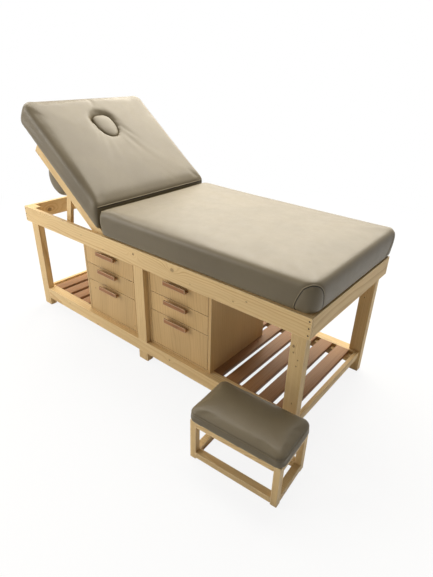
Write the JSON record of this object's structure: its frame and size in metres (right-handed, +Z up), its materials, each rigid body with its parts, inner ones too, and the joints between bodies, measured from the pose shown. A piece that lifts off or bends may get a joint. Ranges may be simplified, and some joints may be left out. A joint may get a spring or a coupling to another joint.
{
  "type": "spa bed with cabinet base",
  "caption": "Padded massage bed on an open pine board frame with drawer cabinets underneath, a tilting backrest with a plugged face hole, and a low padded stool.",
  "frame": {"origin": "on the floor, under the middle of the box around the bed and its stool", "axes": "+X toward the foot end, -Y toward the drawer side, where the stool stands, +Z up"},
  "size_m": [1.9875, 1.0769, 1.2155],
  "materials": {
    "pine": "planed, unvarnished",
    "veneer": "satin",
    "pull_wood": "satin lacquer",
    "plywood": "raw",
    "vinyl": "soft satin",
    "steel": "zinc plated",
    "webbing": "woven"
  },
  "bodies": {
    "frame": {"rail_near": "pine", "rail_far": "pine", "rail_head": "pine", "rail_foot": "pine", "lower_rail_near": "pine", "lower_rail_far": "pine", "lower_rail_head": "pine", "lower_rail_foot": "pine", "leg_head_near": "pine", "leg_head_far": "pine", "leg_mid_near": "pine", "leg_mid_far": "pine", "leg_foot_near": "pine", "leg_foot_far": "pine", "stiles": "pine", "slat_ledgers": "pine", "cross_rails": "pine", "slats": "pine", "hinge_rail": "pine", "top_bearers": "pine", "base_board": "plywood", "base_pad": "vinyl", "prop_seats": "pine", "frame_nails": "steel", "hinge_leaves_fixed": "steel", "hinge_pins": "steel", "cab_sides": "veneer", "cab_left_panels": "veneer", "cab_right_panels": "veneer", "drawer_runners": "plywood"},
    "backrest": {"back_member_near": "pine", "back_member_far": "pine", "back_cross_hinge": "pine", "back_cross_middle": "pine", "backrest_board": "plywood", "backrest_pad": "vinyl", "bolster": "vinyl", "bolster_straps": "webbing", "hinge_leaves_back": "steel"},
    "prop": {"prop_leg_near": "pine", "prop_leg_far": "pine", "prop_rod": "pine"},
    "face_plug": {"face_plug": "vinyl"},
    "drawer_l1": {"drawer_l1": "veneer", "pull_l1": "pull_wood"},
    "drawer_l2": {"drawer_l2": "veneer", "pull_l2": "pull_wood"},
    "drawer_l3": {"drawer_l3": "veneer", "pull_l3": "pull_wood"},
    "drawer_r1": {"drawer_r1": "veneer", "pull_r1": "pull_wood"},
    "drawer_r2": {"drawer_r2": "veneer", "pull_r2": "pull_wood"},
    "drawer_r3": {"drawer_r3": "veneer", "pull_r3": "pull_wood"},
    "stool": {"stool_legs": "pine", "stool_rails": "pine", "stool_board": "plywood", "stool_cushion": "vinyl"}
  },
  "joints": [
    {"name": "backrest_tilt", "type": "hinge", "parent": "frame", "child": "backrest", "pos_m": [-0.28082, 0.13446, 0.64], "axis": [0, 1, 0], "range_deg": [-38, 0]},
    {"name": "prop_fold", "type": "hinge", "parent": "backrest", "child": "prop", "pos_m": [-0.56771, 0.13446, 0.8413], "axis": [0, 1, 0], "range_deg": [0, 116.2]},
    {"name": "plug_lift", "type": "slide", "parent": "backrest", "child": "face_plug", "axis": [0.6157, 0, 0.788], "range_m": [0, 0.13]},
    {"name": "drawer_l1_slide", "type": "slide", "parent": "frame", "child": "drawer_l1", "axis": [0, -1, 0], "range_m": [0, 0.34]},
    {"name": "drawer_l2_slide", "type": "slide", "parent": "frame", "child": "drawer_l2", "axis": [0, -1, 0], "range_m": [0, 0.34]},
    {"name": "drawer_l3_slide", "type": "slide", "parent": "frame", "child": "drawer_l3", "axis": [0, -1, 0], "range_m": [0, 0.34]},
    {"name": "drawer_r1_slide", "type": "slide", "parent": "frame", "child": "drawer_r1", "axis": [0, -1, 0], "range_m": [0, 0.34]},
    {"name": "drawer_r2_slide", "type": "slide", "parent": "frame", "child": "drawer_r2", "axis": [0, -1, 0], "range_m": [0, 0.34]},
    {"name": "drawer_r3_slide", "type": "slide", "parent": "frame", "child": "drawer_r3", "axis": [0, -1, 0], "range_m": [0, 0.34]},
    {"name": "stool_pull", "type": "slide", "parent": "frame", "child": "stool", "axis": [0, -1, 0], "range_m": [0, 0.3]}
  ],
  "couplings": [
    {"joint": "prop_fold", "follows": "backrest_tilt", "ratio": -3.0579}
  ]
}
